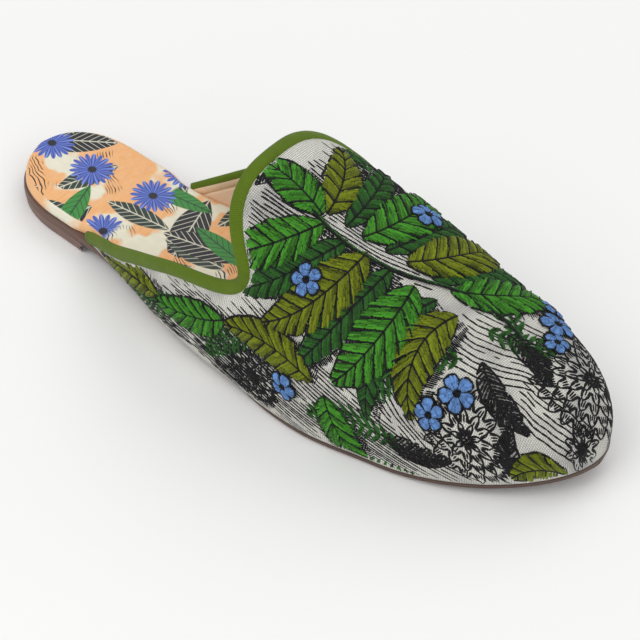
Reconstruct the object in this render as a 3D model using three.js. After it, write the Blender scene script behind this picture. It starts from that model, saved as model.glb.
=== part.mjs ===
// A backless slip-on shoe for the right foot: a lasted upper with a high rounded tongue,
// a corded binding along its topline, a wrapped insole, a thin outsole and a low heel block.
// Millimetres. While it is worked out, +X runs from the heel end to the toe, +Y points to the
// inner side of the foot, +Z points up and the floor is at zero.
import * as THREE from 'three';
import { mergeVertices } from 'three/addons/utils/BufferGeometryUtils.js';

const { clamp, lerp } = THREE.MathUtils;

// Driving dimensions
const LENGTH = 250;           // heel end to toe tip
const WALL = 1.8;             // canvas, backing and lining together
const GAP = 0.3;              // left between pieces that are glued or sewn to each other
const OUTSOLE = 2.6;          // thickness of the outsole
const TOE_START = 190;        // where the outline starts to close towards the toe tip
const TOE_POWER = 2.05;
const BOX_START = 225;        // where the toe box starts to come down
const BOX_POWER = 2.2;
const HEEL_ROUND = 27;        // length of the rounded heel end
const HEEL_POWER = 2.25;
const FULLNESS = 2.6;         // squareness of the upper's sections: 2 is an ellipse
const WIDEST_RISE = 14;       // the upper is widest this far above its lower edge
const WIDEST_SHARE = 0.35;    // but never above this share of a section's height
const WIDEST_TURN = 0.88;     // turn at which a section is widest
const LEAST = 0.01;           // half width that stands for a closed end

// The last, a row for each section. at: from the heel end. centre: towards the inner side.
// half: half width. tuck: how far the upper draws in to its lower edge. edge: how far the
// outsole shows outside that edge. seat: top of the outsole. ridge: top of the last.
const LAST = [
  { at: 0, centre: -0.6, half: 22, tuck: 0, edge: 0.6, seat: 8.2, ridge: 84 },
  { at: 24, centre: -0.6, half: 22.2, tuck: 0, edge: 0.6, seat: 8.2, ridge: 83 },
  { at: 46, centre: -1.2, half: 24.2, tuck: 1.2, edge: 0.4, seat: 8.2, ridge: 82.6 },
  { at: 64, centre: -2.9, half: 29, tuck: 2.8, edge: -1, seat: 7.8, ridge: 82 },
  { at: 90, centre: -2.4, half: 36.6, tuck: 3.6, edge: -1.5, seat: 6, ridge: 81.6 },
  { at: 112, centre: -0.6, half: 41, tuck: 3.6, edge: -1, seat: 4.2, ridge: 79.2 },
  { at: 157, centre: 1.6, half: 43.6, tuck: 1.8, edge: 0.1, seat: OUTSOLE, ridge: 66 },
  { at: 187, centre: 4.6, half: 40, tuck: 1, edge: 0.2, seat: OUTSOLE, ridge: 55 },
  { at: 223, centre: 10, half: 37, tuck: 0.8, edge: 0.2, seat: 5.6, ridge: 40.6 },
  { at: LENGTH, centre: 15, half: 34.4, tuck: 0.6, edge: 0.2, seat: 10.2, ridge: 31 },
];

// The topline on the outer side, from the outsole (way 0) to the middle of the tongue (way 1).
// lag: how much further forward it runs on the inner side.
const TOPLINE = [
  { way: 0, turn: 1, at: 45.5, lag: 12 },
  { way: 0.13, turn: 0.921, at: 61, lag: 7.6 },
  { way: 0.2, turn: 0.877, at: 70, lag: 5 },
  { way: 0.27, turn: 0.835, at: 80.3, lag: 4 },
  { way: 0.4, turn: 0.752, at: 98, lag: 3 },
  { way: 0.49, turn: 0.71, at: 110, lag: 1.5 },
  { way: 0.56, turn: 0.673, at: 119, lag: 0 },
  { way: 0.6, turn: 0.638, at: 124.3, lag: 0 },
  { way: 0.64, turn: 0.588, at: 128, lag: 0 },
  { way: 0.67, turn: 0.539, at: 129, lag: 0 },
  { way: 0.7, turn: 0.492, at: 127.8, lag: 0 },
  { way: 0.76, turn: 0.402, at: 121.2, lag: 0 },
  { way: 0.83, turn: 0.286, at: 115, lag: 0 },
  { way: 0.91, turn: 0.129, at: 111.6, lag: 0 },
  { way: 1, turn: 0, at: 111, lag: 0 },
];

const UPPER = { turns: 60, steps: 24 };
// reach: half width along the wall. bulk: half thickness. clear: distance to the wall's edge.
const BINDING = { reach: 2.3, bulk: 1.6, clear: 0.5, steps: 110, sides: 8, probe: 0.004 };
// stepFrom and stepTo: where the insole narrows to go inside the upper. late: how much later it does
// so on the inner side, where the upper starts further forward.
const INSOLE = {
  heel: 5.6, toe: 3, inset: 3.4, roll: 2.4, foot: 0.4, stations: 44, stepFrom: 34, stepTo: 43.5,
  late: 10,
};
const SOLE_STATIONS = 48;
// breast: front face. taper and foot: how much narrower it is at the floor, and its last chamfer.
const HEEL = { breast: 41.5, taper: 1, foot: 0.8, points: 40 };

// Value of a table's column between its rows, by a cubic that never overshoots them.
function smooth(rows, key, column, at) {
  const last = rows.length - 2;
  const found = rows.findIndex((row) => row[key] > at) - 1;
  const i = found < -1 ? last : clamp(found, 0, last);
  const rise = (k) => (rows[k + 1][column] - rows[k][column]) / (rows[k + 1][key] - rows[k][key]);
  const slope = (k) => {
    if (k === 0) return rise(0);
    if (k === rows.length - 1) return rise(k - 1);
    const before = rise(k - 1);
    const after = rise(k);
    const limit = 3 * Math.min(Math.abs(before), Math.abs(after));
    return before * after > 0 ? clamp((before + after) / 2, -limit, limit) : 0;
  };
  const span = rows[i + 1][key] - rows[i][key];
  const t = clamp((at - rows[i][key]) / span, 0, 1);
  const u = 1 - t;
  return u * u * (1 + 2 * t) * rows[i][column] + u * u * t * span * slope(i)
    + t * t * (3 - 2 * t) * rows[i + 1][column] - t * t * u * span * slope(i + 1);
}

// Falls from 1 at start to 0 at end along a rounded curve.
function roundOff(at, start, end, power) {
  const share = clamp((at - start) / (end - start), 0, 1);
  return (1 - share ** power) ** (1 / power);
}

const centre = (at) => smooth(LAST, 'at', 'centre', at);
const seat = (at) => smooth(LAST, 'at', 'seat', at);

function halfWidth(at, inset = 0) {
  const toe = roundOff(at, TOE_START, LENGTH - inset, TOE_POWER);
  const heel = roundOff(-at, -HEEL_ROUND, -inset, HEEL_POWER);
  return (smooth(LAST, 'at', 'half', at) - inset) * toe * heel;
}

// Height of the last above the outsole.
function rise(at, inset) {
  const full = smooth(LAST, 'at', 'ridge', at) - inset - seat(at) - GAP;
  return full * roundOff(at, BOX_START, LENGTH - inset, BOX_POWER);
}

// The draw-in fades out where the toe closes.
function tuck(at, half) {
  return smooth(LAST, 'at', 'tuck', at) * Math.min(1, half / HEEL_ROUND);
}

// A point of the upper's wall. turn: -1 outer lower edge, 0 ridge, 1 inner lower edge.
function wallPoint(at, turn, inset) {
  const half = halfWidth(at, inset);
  const height = rise(at, inset);
  const widest = Math.min(WIDEST_RISE, WIDEST_SHARE * height);
  const power = 2 / FULLNESS;
  const angle = Math.min(Math.abs(turn) / WIDEST_TURN, 1) * Math.PI / 2;
  const below = clamp((Math.abs(turn) - WIDEST_TURN) / (1 - WIDEST_TURN), 0, 1);
  const side = half * Math.sin(angle) ** power - tuck(at, half) * below ** 2;
  const up = (height - widest) * Math.max(0, Math.cos(angle)) ** power + widest * (1 - below);
  return new THREE.Vector3(at, centre(at) + Math.sign(turn) * side, seat(at) + GAP + up);
}

// Where the topline is at a share of its way: 0 outer end, 0.5 top of the tongue, 1 inner end.
function topline(share) {
  const way = 1 - Math.abs(2 * share - 1);
  const side = Math.sign(share - 0.5);
  const lag = Math.max(0, side) * smooth(TOPLINE, 'way', 'lag', way);
  return { turn: side * smooth(TOPLINE, 'way', 'turn', way), at: smooth(TOPLINE, 'way', 'at', way) + lag };
}

// A closed solid through rings of equally many points, with both ends capped across.
function loft(rings) {
  const count = rings[0].length;
  const position = rings.flat().flatMap((point) => point.toArray());
  const index = [];
  const corner = (ring, k) => ring * count + (k % count);
  const quad = (a, b, c, d) => index.push(a, b, c, a, c, d);
  for (let ring = 0; ring + 1 < rings.length; ring++) {
    for (let k = 0; k < count; k++) {
      quad(corner(ring, k), corner(ring, k + 1), corner(ring + 1, k + 1), corner(ring + 1, k));
    }
  }
  const end = rings.length - 1;
  for (let k = 0; k + 1 < count / 2; k++) {
    const across = count - 1 - k;
    quad(corner(0, across), corner(0, across - 1), corner(0, k + 1), corner(0, k));
    quad(corner(end, k), corner(end, k + 1), corner(end, across - 1), corner(end, across));
  }
  const geometry = new THREE.BufferGeometry();
  geometry.setAttribute('position', new THREE.Float32BufferAttribute(position, 3));
  geometry.setIndex(index);
  const merged = mergeVertices(geometry, 1e-3);
  const kept = [];
  const corners = merged.index.array;
  for (let k = 0; k < corners.length; k += 3) {
    const [a, b, c] = corners.slice(k, k + 3);
    if (a !== b && b !== c && c !== a) kept.push(a, b, c);
  }
  merged.setIndex(kept);
  merged.computeVertexNormals();
  return merged;
}

// Shares from 0 to 1 that crowd towards both ends.
function crowded(count) {
  return Array.from({ length: count }, (_, k) => (1 - Math.cos(Math.PI * k / (count - 1))) / 2);
}

// One hollow wall: each ring runs from the topline to the toe outside and back inside.
function upperGeometry() {
  const line = ({ turn, at }, inset) => Array.from({ length: UPPER.steps + 1 }, (_, k) => {
    const along = Math.sin(Math.PI / 2 * k / UPPER.steps);
    return wallPoint(lerp(at, LENGTH - inset, along), turn, inset);
  });
  const rings = Array.from({ length: UPPER.turns + 1 }, (_, k) => {
    const start = topline(k / UPPER.turns);
    return [...line(start, 0), ...line(start, WALL).reverse()];
  });
  return loft(rings);
}

// An oval cord that follows the wall's top edge, flat side against the wall.
function bindingGeometry() {
  const middle = (turn, at) => wallPoint(at, turn, WALL / 2);
  const rings = Array.from({ length: BINDING.steps + 1 }, (_, k) => {
    const share = k / BINDING.steps;
    const { turn, at } = topline(share);
    const edge = middle(turn, at);
    const before = topline(Math.max(0, share - BINDING.probe));
    const after = topline(Math.min(1, share + BINDING.probe));
    const along = middle(after.turn, after.at).sub(middle(before.turn, before.at)).normalize();
    const normal = middle(turn, at + 1).sub(edge).cross(along).normalize();
    const out = normal.clone().cross(along).normalize();
    const heart = edge.clone().addScaledVector(out, BINDING.reach + BINDING.clear);
    return Array.from({ length: BINDING.sides }, (_, side) => {
      const angle = 2 * Math.PI * (side + 0.5) / BINDING.sides;
      return heart.clone()
        .addScaledVector(out, BINDING.reach * Math.cos(angle))
        .addScaledVector(normal, BINDING.bulk * Math.sin(angle));
    });
  });
  return loft(rings);
}

// Half width of the upper's lower edge, and of the same outline behind the upper.
function lowerEdge(at, inset) {
  const half = halfWidth(at, inset);
  return Math.max(LEAST, half - tuck(at, half));
}

function outsoleGeometry() {
  const rings = crowded(SOLE_STATIONS).map((share) => {
    const at = lerp(-LAST[0].edge, LENGTH + LAST.at(-1).edge, share);
    const half = lowerEdge(at, -smooth(LAST, 'at', 'edge', at));
    const top = seat(at);
    const ring = [[-1, top], [-1, top - OUTSOLE], [1, top - OUTSOLE], [1, top]];
    return ring.map(([side, z]) => new THREE.Vector3(at, centre(at) + side * half, z));
  });
  return loft(rings);
}

function heelGeometry() {
  const flush = -LAST[0].edge;
  const levels = [
    { z: 0, inset: flush + HEEL.taper + HEEL.foot },
    { z: HEEL.foot, inset: flush + HEEL.taper },
    { z: LAST[0].seat - OUTSOLE - GAP, inset: flush },
  ];
  const rings = levels.map(({ z, inset }) => {
    const side = crowded(HEEL.points / 2).map((share) => lerp(HEEL.breast + flush - inset, inset, share));
    const edge = (way) => (at) => new THREE.Vector3(at, centre(at) + way * lowerEdge(at, inset), z);
    return [...side.map(edge(1)), ...side.reverse().map(edge(-1))];
  });
  return loft(rings);
}

// The wrapped board: full width round the heel, then inside the upper's wall.
function insoleGeometry() {
  const end = LENGTH - INSOLE.inset;
  const rings = crowded(INSOLE.stations).map((share) => {
    const at = share * end;
    const halfOn = (late) => {
      const inside = THREE.MathUtils.smoothstep(at - late, INSOLE.stepFrom, INSOLE.stepTo);
      return lowerEdge(at, INSOLE.inset * inside);
    };
    const outerHalf = halfOn(0);
    const innerHalf = halfOn(INSOLE.late);
    const thick = lerp(INSOLE.heel, INSOLE.toe, at / LENGTH);
    const roll = Math.min(INSOLE.roll, outerHalf / 2, thick / 2);
    const base = seat(at) + GAP;
    const arc = roll * (1 - Math.SQRT1_2);
    const profile = [[0, INSOLE.foot], [0, thick - roll], [arc, thick - arc], [roll, thick]];
    const spot = (across, up) => new THREE.Vector3(at, centre(at) + across, base + up);
    const outer = profile.map(([back, up]) => spot(back - outerHalf, up));
    const inner = profile.map(([back, up]) => spot(innerHalf - back, up));
    const floor = [
      spot(-Math.max(0, outerHalf - INSOLE.foot), 0),
      spot(Math.max(0, innerHalf - INSOLE.foot), 0),
    ];
    return [...outer.reverse(), ...floor, ...inner];
  });
  return loft(rings);
}

function piece(name, geometry, color, roughness) {
  const mesh = new THREE.Mesh(geometry, new THREE.MeshStandardMaterial({ color, roughness, metalness: 0 }));
  mesh.name = name;
  return mesh;
}

const shoe = new THREE.Group();
shoe.add(
  piece('outsole', outsoleGeometry(), 0x4a3426, 0.6),
  piece('heel', heelGeometry(), 0x5a4030, 0.55),
  piece('insole', insoleGeometry(), 0xd8c8a8, 0.5),
  piece('upper', upperGeometry(), 0xb9b8ae, 0.9),
  piece('topline_binding', bindingGeometry(), 0x5a780f, 0.85),
);

// The finished shoe stands on the floor with the middle of its box over the origin.
const box = new THREE.Box3().setFromObject(shoe);
const middle = box.getCenter(new THREE.Vector3());
shoe.position.set(-middle.x, -middle.y, -box.min.z);

const part = new THREE.Group();
part.add(shoe);

export default part;
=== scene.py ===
"""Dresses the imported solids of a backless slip-on shoe in canvas, thread and leather."""

import functools
import math

import bmesh
import bpy
import numpy as np
from mathutils import Matrix, Vector


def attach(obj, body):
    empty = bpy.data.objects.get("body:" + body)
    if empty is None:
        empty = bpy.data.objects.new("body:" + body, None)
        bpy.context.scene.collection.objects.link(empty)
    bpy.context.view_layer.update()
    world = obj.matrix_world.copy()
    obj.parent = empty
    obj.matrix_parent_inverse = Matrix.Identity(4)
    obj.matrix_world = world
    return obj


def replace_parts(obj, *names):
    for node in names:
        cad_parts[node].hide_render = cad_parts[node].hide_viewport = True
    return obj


bl_info = {
    "name": "Embroidered mule",
    "version": (1, 0, 0),
    "blender": (4, 5, 0),
    "location": "3D View > Sidebar > Mule",
    "description": "Dresses the packed solids of a backless slip-on shoe in canvas, thread and leather",
    "category": "Object",
}

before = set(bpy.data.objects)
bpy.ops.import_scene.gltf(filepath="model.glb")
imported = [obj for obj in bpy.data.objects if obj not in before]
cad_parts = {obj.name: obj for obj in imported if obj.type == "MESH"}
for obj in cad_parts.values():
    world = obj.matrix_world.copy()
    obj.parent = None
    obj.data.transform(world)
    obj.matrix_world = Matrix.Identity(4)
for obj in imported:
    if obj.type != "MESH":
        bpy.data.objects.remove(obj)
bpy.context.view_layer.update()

MM = 0.001
BODY = "root"

# The last, in millimetres, by the same rules as the solids. at runs from the heel end to the toe.
LENGTH = 250.0
WALL = 1.8
GAP = 0.3
OUTSOLE = 2.6
TOE_START, TOE_POWER = 190.0, 2.05
BOX_START, BOX_POWER = 225.0, 2.2
HEEL_ROUND, HEEL_POWER = 27.0, 2.25
FULLNESS = 2.6
WIDEST_RISE, WIDEST_SHARE, WIDEST_TURN = 14.0, 0.35, 0.88
HEEL_END = np.array((-124.8, -1.381, 0.0))  # the last's own origin, in the frame
TONGUE = 111.0  # at of the topline's middle

LAST = {
    "at": (0, 24, 46, 64, 90, 112, 157, 187, 223, LENGTH),
    "centre": (-0.6, -0.6, -1.2, -2.9, -2.4, -0.6, 1.6, 4.6, 10, 15),
    "half": (22, 22.2, 24.2, 29, 36.6, 41, 43.6, 40, 37, 34.4),
    "tuck": (0, 0, 1.2, 2.8, 3.6, 3.6, 1.8, 1, 0.8, 0.6),
    "edge": (0.6, 0.6, 0.4, -1, -1.5, -1, 0.1, 0.2, 0.2, 0.2),
    "seat": (8.2, 8.2, 8.2, 7.8, 6, 4.2, OUTSOLE, OUTSOLE, 5.6, 10.2),
    "ridge": (84, 83, 82.6, 82, 81.6, 79.2, 66, 55, 40.6, 31),
}

# The topline on the outer side, from the outsole (way 0) to the middle of the tongue (way 1).
# lag: how much further forward it runs on the inner side.
TOPLINE = {
    "way": (0, 0.13, 0.2, 0.27, 0.4, 0.49, 0.56, 0.6, 0.64, 0.67, 0.7, 0.76, 0.83, 0.91, 1),
    "turn": (1, 0.921, 0.877, 0.835, 0.752, 0.71, 0.673, 0.638, 0.588, 0.539, 0.492, 0.402,
             0.286, 0.129, 0),
    "at": (45.5, 61, 70, 80.3, 98, 110, 119, 124.3, 128, 129, 127.8, 121.2, 115, 111.6, 111),
    "lag": (12, 7.6, 5, 4, 3, 1.5, 0, 0, 0, 0, 0, 0, 0, 0, 0),
}

# step_from, step_to: where the insole narrows to go inside the upper, and how much later it does so
# on the inner side. It comes nearer to the wall than the solid does, as far as the lining.
INSOLE = {
    "heel": 5.6, "toe": 3.0, "inset": 2.0, "roll": 2.4, "step_from": 34.0, "step_to": 43.5, "late": 10.0,
}
HEEL = {"breast": 41.5, "taper": 1.0, "foot": 0.8}
# lined_from, lined_to: the share of the girth that the lining covers. lap: how far the binding comes
# down over the wall's edge. eased: the share of the topline at each end that is smoothed further.
BINDING = {
    "reach": 2.55, "bulk": 1.75, "probe": 0.008, "girth": 13.2, "lined_from": 0.5, "lined_to": 0.79,
    "lap": 0.7, "eased": 0.17, "fade": 0.03, "smoothing": 60, "further": 500,
}

# The camera, fitted to the photograph's outline: angles in degrees, lengths in millimetres.
CAMERA = {"azimuth": 36.14, "elevation": 45.66, "roll": 4.52, "lens": 249.73, "distance": 1592.3}
AIM = np.array((7.04, -1.38, 30.9))  # the point at the picture's middle, before AIM_SHIFT
AIM_SHIFT = (1.04, -14.53)  # to the right and up in the picture

SEED = 20
SAMPLES = 900  # along the topline

# The insole's printed colours.
PRINT = {"dark": "2f3f37", "leaf": "3d8f3f", "ink": "23252b", "petal": "3b4fa6", "streak": "7f97e6"}
# Scattered leaves of the print: cell, offset, length and width in millimetres, and colour.
PRINTED_LEAVES = (
    (34.0, (7.0, 3.0), 36.0, 13.0, "ink"),
    (27.0, (171.0, 147.0), 27.0, 9.0, "dark"),
    (31.0, (98.0, 231.0), 33.0, 12.0, "ink"),
    (28.0, (55.0, 31.0), 29.0, 8.5, "leaf"),
)
DAISY = {"cell": 27.0, "offset": (90.0, 12.0), "petals": 18, "radius": 8.5}
LEAF_SPREAD, DAISY_SPREAD = 0.5, 0.6  # how far the motifs stray from an even grid

# Embroidery threads: darkest and lightest shade of a stitch.
THREADS = {
    "black": (0.5, 1.4),
    "shade": (0.5, 1.4),
    "deep": (0.15, 1.4),
    "olive": (0.15, 1.45),
    "bright": (0.1, 1.5),
    "blue": (0.55, 1.2),
}


def paint(hexadecimal):
    """Linear colour of a display colour such as 5a780f."""
    display = [int(hexadecimal[k:k + 2], 16) / 255 for k in (0, 2, 4)]
    linear = [c / 12.92 if c <= 0.04045 else ((c + 0.055) / 1.055) ** 2.4 for c in display]
    return (*linear, 1.0)


def length_property(name, description, default):
    """A property that holds a length."""
    return bpy.props.FloatProperty(
        name=name, description=description, default=default, min=0.0, precision=5, unit="LENGTH")


def colour_property(name, description, hexadecimal):
    """A property that holds a colour."""
    return bpy.props.FloatVectorProperty(
        name=name, description=description, default=paint(hexadecimal), size=4, min=0.0, max=1.0,
        subtype="COLOR")


class MuleSizes(bpy.types.PropertyGroup):
    """Sizes of the cloth, thread and binding."""

    weave: length_property("Weave", "Width of one canvas thread", 0.0008)
    rib: length_property("Rib", "Distance between the binding's ribs", 0.00062)
    thread: length_property("Thread", "Width of a filling stitch", 0.00082)
    line: length_property("Line", "Width of a single drawn stitch", 0.00088)
    pad: length_property("Padding", "How far filled leaves stand above the canvas", 0.0007)


class MuleColours(bpy.types.PropertyGroup):
    """Colours of the cloth, threads and leathers."""

    canvas: colour_property("Canvas", "Ecru of the woven canvas", "ebeae0")
    wash: colour_property("Wash", "Grey wash on parts of the canvas", "bab9b6")
    lining: colour_property("Lining", "Tan lining leather", "efd3b2")
    binding: colour_property("Binding", "Green of the ribbed edge", "5b7408")
    bright: colour_property("Bright leaf", "Bright green thread", "3e8620")
    olive: colour_property("Olive leaf", "Olive green thread", "6d790b")
    deep: colour_property("Deep leaf", "Dark green thread", "285c1e")
    black: colour_property("Black", "Black thread", "131316")
    blue: colour_property("Blue", "Blue flower thread", "6791cc")
    insole: colour_property("Insole", "Cream ground of the printed wrap", "ece8d2")
    orange: colour_property("Orange", "Orange fields of the print", "f6ae66")
    sole: colour_property("Sole", "Stained edge of the outsole", "6b5349")
    heel: colour_property("Heel", "Stained heel block", "7a6157")
    floor: colour_property("Floor", "Plain pale floor", "fafaf9")


def smooth(table, key, column, at):
    """Value of a table's column between its rows, by a cubic that never overshoots them."""
    x = np.array(table[key], float)
    y = np.array(table[column], float)
    rise = np.diff(y) / np.diff(x)
    before, after = rise[:-1], rise[1:]
    limit = 3 * np.minimum(abs(before), abs(after))
    inner = np.where(before * after > 0, np.clip((before + after) / 2, -limit, limit), 0)
    slope = np.concatenate((rise[:1], inner, rise[-1:]))
    at = np.asarray(at, float)
    i = np.clip(np.searchsorted(x, at, side="right") - 1, 0, len(x) - 2)
    span = x[i + 1] - x[i]
    t = np.clip((at - x[i]) / span, 0, 1)
    u = 1 - t
    return (u * u * (1 + 2 * t) * y[i] + u * u * t * span * slope[i]
            + t * t * (3 - 2 * t) * y[i + 1] - t * t * u * span * slope[i + 1])


def last(column, at):
    """A measure of the last at a distance from its heel end."""
    return smooth(LAST, "at", column, at)


def round_off(at, start, end, power):
    """Falls from 1 at start to 0 at end along a rounded curve."""
    share = np.clip((at - start) / (end - start), 0, 1)
    return (1 - share ** power) ** (1 / power)


def half_width(at, inset=0.0):
    """Half width of the last, with its rounded toe and heel."""
    toe = round_off(at, TOE_START, LENGTH - inset, TOE_POWER)
    heel = round_off(-at, -HEEL_ROUND, -inset, HEEL_POWER)
    return (last("half", at) - inset) * toe * heel


def tuck(at, half):
    """How far the upper draws in to its lower edge."""
    return last("tuck", at) * np.minimum(1, half / HEEL_ROUND)


def lower_edge(at, inset=0.0):
    """Half width of the upper's lower edge, and of the same outline behind the upper."""
    half = half_width(at, inset)
    return np.maximum(0, half - tuck(at, half))


def wall_point(at, turn, inset=0.0):
    """Points of the upper's wall. turn: -1 outer lower edge, 0 ridge, 1 inner lower edge."""
    at, turn = np.broadcast_arrays(np.asarray(at, float), np.asarray(turn, float))
    half = half_width(at, inset)
    height = last("ridge", at) - inset - last("seat", at) - GAP
    height = height * round_off(at, BOX_START, LENGTH - inset, BOX_POWER)
    widest = np.minimum(WIDEST_RISE, WIDEST_SHARE * height)
    power = 2 / FULLNESS
    angle = np.minimum(abs(turn) / WIDEST_TURN, 1) * math.pi / 2
    below = np.clip((abs(turn) - WIDEST_TURN) / (1 - WIDEST_TURN), 0, 1)
    side = half * np.sin(angle) ** power - tuck(at, half) * below ** 2
    up = (height - widest) * np.maximum(0, np.cos(angle)) ** power + widest * (1 - below)
    across = last("centre", at) + np.sign(turn) * side
    return np.stack((at, across, last("seat", at) + GAP + up), -1) + HEEL_END


def topline(share):
    """turn and at of the topline: share 0 outer end, 0.5 top of the tongue, 1 inner end."""
    share = np.asarray(share, float)
    way = 1 - abs(2 * share - 1)
    side = np.sign(share - 0.5)
    lag = np.maximum(0, side) * smooth(TOPLINE, "way", "lag", way)
    return side * smooth(TOPLINE, "way", "turn", way), smooth(TOPLINE, "way", "at", way) + lag


def unit(vectors):
    """The same directions, one long."""
    return vectors / np.maximum(np.linalg.norm(vectors, axis=-1, keepdims=True), 1e-12)


def running(points):
    """Distance along a row of points, from its first."""
    steps = np.linalg.norm(np.diff(points, axis=0), axis=1)
    return np.concatenate(([0.0], np.cumsum(steps)))


def between(table, row, column):
    """A table's value between its rows and columns."""
    row = np.clip(row, 0, table.shape[0] - 1.001)
    column = np.clip(column, 0, table.shape[1] - 1.001)
    i, j = row.astype(int), column.astype(int)
    tail = (1,) * (table.ndim - 2)
    b, a = (row - i).reshape(*i.shape, *tail), (column - j).reshape(*j.shape, *tail)
    near = table[i, j] * (1 - a) + table[i, j + 1] * a
    far = table[i + 1, j] * (1 - a) + table[i + 1, j + 1] * a
    return near * (1 - b) + far * b


class Pattern:
    """The upper laid flat, in millimetres: u runs across from the ridge, v along it from the tongue."""

    STEP = 0.5
    TURNS = 601
    BEHIND = 40.0  # where the flat pattern starts, behind the upper

    def __init__(self):
        easing = np.sin(np.linspace(0, math.pi / 2, 1500))
        ats = self.BEHIND + (LENGTH - self.BEHIND) * easing
        ridge = running(wall_point(ats, 0.0))
        ridge = ridge - np.interp(TONGUE, ats, ridge)
        self.vs = np.linspace(ridge[0], ridge[-1], round((ridge[-1] - ridge[0]) / self.STEP) + 1)
        self.ats = np.interp(self.vs, ridge, ats)
        self.turns = np.linspace(-1, 1, self.TURNS)
        rings = wall_point(self.ats[:, None], self.turns)
        steps = np.linalg.norm(np.diff(rings, axis=1), axis=2)
        widths = np.concatenate((np.zeros((len(steps), 1)), np.cumsum(steps, 1)), 1)
        self.widths = widths - widths[:, self.TURNS // 2:self.TURNS // 2 + 1]
        self.edge = self.widths[:, -1]
        columns = 2 * math.ceil(self.edge.max() / self.STEP) + 1
        self.us = (np.arange(columns) - columns // 2) * self.STEP
        turns = np.array([np.interp(self.us, width, self.turns) for width in self.widths])
        self.points = wall_point(self.ats[:, None], turns)
        within = abs(self.us[None, :]) < self.edge[:, None]
        self.normals = self.outward(within)
        turn, at = topline(np.linspace(0, 1, SAMPLES))
        self.cells = (self.ats[:, None] > np.interp(turns, turn, at)) & within
        sides = np.stack((self.edge, self.vs), -1)
        top = self.flat(at, turn)
        inner, outer = sides[self.vs > top[-1, 1]], (sides * (-1, 1))[self.vs > top[0, 1]]
        self.border = np.concatenate((top, inner, outer))

    def outward(self, within):
        """Normals of the wall, carried on past its lower edge."""
        across, along = np.gradient(self.points, axis=1), np.gradient(self.points, axis=0)
        normals = unit(np.cross(along, across))
        middle = len(self.us) // 2
        firm = within & np.roll(within, 1, 1) & np.roll(within, -1, 1)
        for away in range(1, middle + 1):
            for column, nearer in ((middle + away, middle + away - 1), (middle - away, middle - away + 1)):
                lost = ~firm[:, column]
                normals[lost, column] = normals[lost, nearer]
        return normals

    def flat(self, at, turn):
        """u and v of points of the wall."""
        row = np.interp(at, self.ats, np.arange(len(self.ats)))
        u = between(self.widths, row, (turn + 1) / 2 * (self.TURNS - 1))
        return np.stack((u, np.interp(at, self.ats, self.vs)), -1)

    def cell(self, u, v):
        """Row and column of the flat pattern at u and v."""
        return (v - self.vs[0]) / (self.vs[1] - self.vs[0]), (u - self.us[0]) / self.STEP

    def place(self, u, v):
        """Points and normals of the wall at u and v."""
        row, column = self.cell(u, v)
        return between(self.points, row, column), unit(between(self.normals, row, column))

    def room(self, u, v):
        """Distance to the upper's border, below zero outside it."""
        spots = np.stack((np.ravel(u), np.ravel(v)), -1)
        least = np.concatenate([
            np.linalg.norm(chunk[:, None] - self.border[None], axis=-1).min(1)
            for chunk in np.array_split(spots, len(spots) // 2000 + 1)])
        row, column = self.cell(spots[:, 0], spots[:, 1])
        row = np.clip(np.rint(row), 0, len(self.vs) - 1).astype(int)
        column = np.clip(np.rint(column), 0, len(self.us) - 1).astype(int)
        return np.where(self.cells[row, column], least, -least).reshape(np.shape(u))


@functools.cache
def flat_pattern():
    """The one flat pattern that the canvas and its embroidery share."""
    return Pattern()


def new_piece(name, bm, slot, *materials):
    """Turns a bmesh into a piece that rides on the shoe and takes the given materials; slot is not used."""
    mesh = bpy.data.meshes.new(name)
    bm.to_mesh(mesh)
    bm.free()
    return dress(name, mesh, slot, *materials)


def dress(name, mesh, slot, *materials):
    """Links a mesh as a smooth piece with its materials."""
    mesh.polygons.foreach_set("use_smooth", [True] * len(mesh.polygons))
    for material in materials:
        mesh.materials.append(material)
    piece = bpy.data.objects.new(name, mesh)
    bpy.context.scene.collection.objects.link(piece)
    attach(piece, BODY)
    return piece


def shaped_grid(columns, rows, place):
    """A grid moved to where place(across, along), both from 0 to 1, puts it, with a map in mm."""
    bm = bmesh.new()
    bmesh.ops.create_grid(bm, x_segments=columns, y_segments=rows, size=0.5)
    spots = np.array([vert.co for vert in bm.verts]) + 0.5
    points, flat = place(1 - spots[:, 0], spots[:, 1])
    for vert, point in zip(bm.verts, points * MM):
        vert.co = point
    layer = bm.loops.layers.uv.new("flat")
    for face in bm.faces:
        for loop in face.loops:
            loop[layer].uv = flat[loop.vert.index]
    return bm


def close_up(bm):
    """Merges poles and seams, and fills the open ends."""
    bmesh.ops.remove_doubles(bm, verts=bm.verts, dist=1e-6)
    bmesh.ops.dissolve_degenerate(bm, edges=bm.edges, dist=1e-7)
    bmesh.ops.holes_fill(bm, edges=[edge for edge in bm.edges if edge.is_boundary], sides=0)
    bmesh.ops.recalc_face_normals(bm, faces=bm.faces)


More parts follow.
